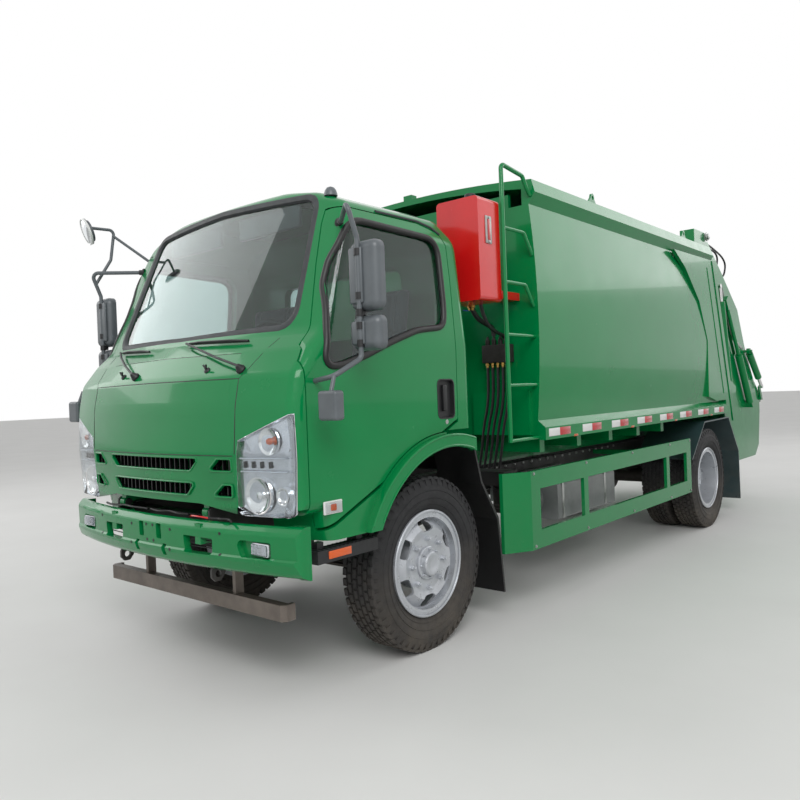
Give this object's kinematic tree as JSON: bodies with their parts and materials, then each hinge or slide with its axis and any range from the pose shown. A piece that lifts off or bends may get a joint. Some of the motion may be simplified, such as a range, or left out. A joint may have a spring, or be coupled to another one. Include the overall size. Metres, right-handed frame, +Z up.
{
  "type": "rear-loading compactor garbage truck",
  "caption": "Cab-over garbage truck with a bulged steel load body, rear loading hopper with packer slide and blade, bin lifter, twin rear wheels and tilting cab.",
  "frame": {"origin": "on the ground below the middle of the truck's overall length and width", "axes": "+Z up; the front of the truck looks along -Y, and its left side is at +X"},
  "size_m": [2.57, 7.9528, 2.945],
  "materials": {
    "green_paint": "gloss green paint",
    "red_paint": "gloss red paint",
    "black_paint": "satin black chassis paint",
    "guard_paint": "dark blue grey paint",
    "wheel_paint": "silver wheel paint",
    "tyre": "black tyre rubber",
    "black_plastic": "grained black plastic",
    "rubber": "black rubber",
    "glass": "lightly tinted glass",
    "lamp_glass": "clear lamp lens",
    "red_lens": "red lamp lens",
    "seat_fabric": "grey seat cloth",
    "chrome": "polished cylinder rod",
    "cast_iron": "dark cast metal",
    "grey_paint": "brown grey paint"
  },
  "bodies": {
    "chassis": {"frame_rails": "black_paint", "front_axle_beam": "cast_iron", "rear_axle": "cast_iron", "leaf_springs": "black_paint", "power_train": "cast_iron", "fuel_tank": "grey_paint", "battery_and_air_tanks": "grey_paint", "filter_unit": "black_paint", "exhaust_silencer": "cast_iron", "front_bumper": "green_paint", "underrun_bar": "grey_paint", "front_mudflaps": "rubber", "rear_mudguards": "guard_paint", "side_guards": "green_paint", "body_floor": "green_paint", "body_sides": "green_paint", "body_roof": "green_paint", "body_front_wall": "green_paint", "body_rear_posts": "green_paint", "ladder": "green_paint", "oil_tank": "red_paint"},
    "cab": {"cab_shell": "green_paint", "headlamps": "lamp_glass", "hood_panel": "green_paint", "grille": "green_paint", "windscreen": "glass", "wheel_flares": "green_paint", "seats": "seat_fabric", "dashboard": "black_plastic", "cab_steps": "black_plastic"},
    "left_door": {"left_door": "green_paint", "left_door_glass": "glass", "left_mirrors": "black_plastic"},
    "right_door": {"right_door": "green_paint", "right_door_glass": "glass", "right_mirrors": "black_plastic"},
    "left_knuckle": {"left_knuckle": "cast_iron"},
    "right_knuckle": {"right_knuckle": "cast_iron"},
    "tie_rod": {"tie_rod": "cast_iron"},
    "left_front_wheel": {"left_front_tyre": "tyre", "left_front_rim": "wheel_paint"},
    "right_front_wheel": {"right_front_tyre": "tyre", "right_front_rim": "wheel_paint"},
    "left_rear_wheels": {"left_rear_tyres": "tyre", "left_rear_rims": "wheel_paint"},
    "right_rear_wheels": {"right_rear_tyres": "tyre", "right_rear_rims": "wheel_paint"},
    "ejector": {"ejector_panel": "green_paint"},
    "tailgate": {"tailgate_shell": "green_paint", "tail_lamps": "red_lens", "slide_barrels": "green_paint"},
    "lift_barrels": {"lift_barrels": "green_paint"},
    "lift_rods": {"lift_rods": "chrome"},
    "packer_slide": {"packer_slide": "green_paint"},
    "packing_blade": {"packing_blade": "green_paint"},
    "blade_barrels": {"blade_barrels": "green_paint"},
    "blade_rods": {"blade_rods": "chrome"},
    "bin_lifter": {"bin_lifter": "green_paint"},
    "lifter_barrels": {"lifter_barrels": "green_paint"},
    "lifter_rods": {"lifter_rods": "chrome"}
  },
  "joints": [
    {"name": "cab_tilt", "type": "hinge", "parent": "chassis", "child": "cab", "pos_m": [0, -3.8735, 0.88], "axis": [1, 0, 0], "range_deg": [0, 45]},
    {"name": "left_door_hinge", "type": "hinge", "parent": "cab", "child": "left_door", "pos_m": [1.019, -3.7495, 1.2], "axis": [0, 0, -1], "range_deg": [0, 60]},
    {"name": "right_door_hinge", "type": "hinge", "parent": "cab", "child": "right_door", "pos_m": [-1.019, -3.7495, 1.2], "axis": [0, 0, 1], "range_deg": [0, 60]},
    {"name": "left_steering", "type": "hinge", "parent": "chassis", "child": "left_knuckle", "pos_m": [0.69, -2.8235, 0.481], "axis": [0, 0, 1], "range_deg": [-33, 33]},
    {"name": "right_steering", "type": "hinge", "parent": "chassis", "child": "right_knuckle", "pos_m": [-0.69, -2.8235, 0.481], "axis": [0, 0, 1], "range_deg": [-33, 33]},
    {"name": "tie_rod_pivot", "type": "hinge", "parent": "left_knuckle", "child": "tie_rod", "pos_m": [0.69, -2.6335, 0.363], "axis": [0, 0, 1], "range_deg": [-33, 33]},
    {"name": "left_front_wheel_spin", "type": "hinge", "parent": "left_knuckle", "child": "left_front_wheel", "pos_m": [0.84, -2.8235, 0.481], "axis": [1, 0, 0], "continuous": true},
    {"name": "right_front_wheel_spin", "type": "hinge", "parent": "right_knuckle", "child": "right_front_wheel", "pos_m": [-0.84, -2.8235, 0.481], "axis": [1, 0, 0], "continuous": true},
    {"name": "left_rear_wheels_spin", "type": "hinge", "parent": "chassis", "child": "left_rear_wheels", "pos_m": [0.854, 1.4295, 0.481], "axis": [1, 0, 0], "continuous": true},
    {"name": "right_rear_wheels_spin", "type": "hinge", "parent": "chassis", "child": "right_rear_wheels", "pos_m": [-0.854, 1.4295, 0.481], "axis": [1, 0, 0], "continuous": true},
    {"name": "ejector_stroke", "type": "slide", "parent": "chassis", "child": "ejector", "axis": [0, 1, 0], "range_m": [0, 3]},
    {"name": "tailgate_lift", "type": "hinge", "parent": "chassis", "child": "tailgate", "pos_m": [0, 1.7765, 2.905], "axis": [1, 0, 0], "range_deg": [0, 80]},
    {"name": "packer_stroke", "type": "slide", "parent": "tailgate", "child": "packer_slide", "axis": [0, 0.5764, -0.8171], "range_m": [0, 0.6]},
    {"name": "blade_swing", "type": "hinge", "parent": "packer_slide", "child": "packing_blade", "pos_m": [0, 2.69223, 1.77726], "axis": [1, 0, 0], "range_deg": [0, 60]},
    {"name": "lifter_tip", "type": "hinge", "parent": "tailgate", "child": "bin_lifter", "pos_m": [0, 3.7165, 1.205], "axis": [1, 0, 0], "range_deg": [0, 115]},
    {"name": "lift_barrel_swing", "type": "hinge", "parent": "chassis", "child": "lift_barrels", "pos_m": [0, 2.3565, 1.33], "axis": [1, 0, 0], "range_deg": [-9.82, 0]},
    {"name": "lift_rod_stroke", "type": "slide", "parent": "lift_barrels", "child": "lift_rods", "axis": [0, -0.1961, 0.9806], "range_m": [0, 0.7269]},
    {"name": "lifter_barrel_swing", "type": "hinge", "parent": "tailgate", "child": "lifter_barrels", "pos_m": [0, 3.1365, 1.76], "axis": [1, 0, 0], "range_deg": [-14.88, 0]},
    {"name": "lifter_rod_stroke", "type": "slide", "parent": "lifter_barrels", "child": "lifter_rods", "axis": [0, 0.7687, -0.6396], "range_m": [0, 0.1925]},
    {"name": "blade_barrel_swing", "type": "hinge", "parent": "packer_slide", "child": "blade_barrels", "pos_m": [0, 2.31609, 2.25842], "axis": [1, 0, 0], "range_deg": [-2.85, 0]},
    {"name": "blade_rod_stroke", "type": "slide", "parent": "blade_barrels", "child": "blade_rods", "axis": [0, 0.5081, -0.8613], "range_m": [0, 0.1115]}
  ],
  "couplings": [
    {"joint": "right_steering", "follows": "left_steering", "ratio": 1},
    {"joint": "tie_rod_pivot", "follows": "left_steering", "ratio": -1},
    {"joint": "lift_barrel_swing", "follows": "tailgate_lift", "ratio": -0.12211},
    {"joint": "lift_rod_stroke", "follows": "tailgate_lift", "m_per_rad": 0.51991},
    {"joint": "lifter_barrel_swing", "follows": "lifter_tip", "ratio": -0.12897},
    {"joint": "lifter_rod_stroke", "follows": "lifter_tip", "m_per_rad": 0.095432},
    {"joint": "blade_barrel_swing", "follows": "blade_swing", "ratio": -0.046731},
    {"joint": "blade_rod_stroke", "follows": "blade_swing", "m_per_rad": 0.1055}
  ]
}
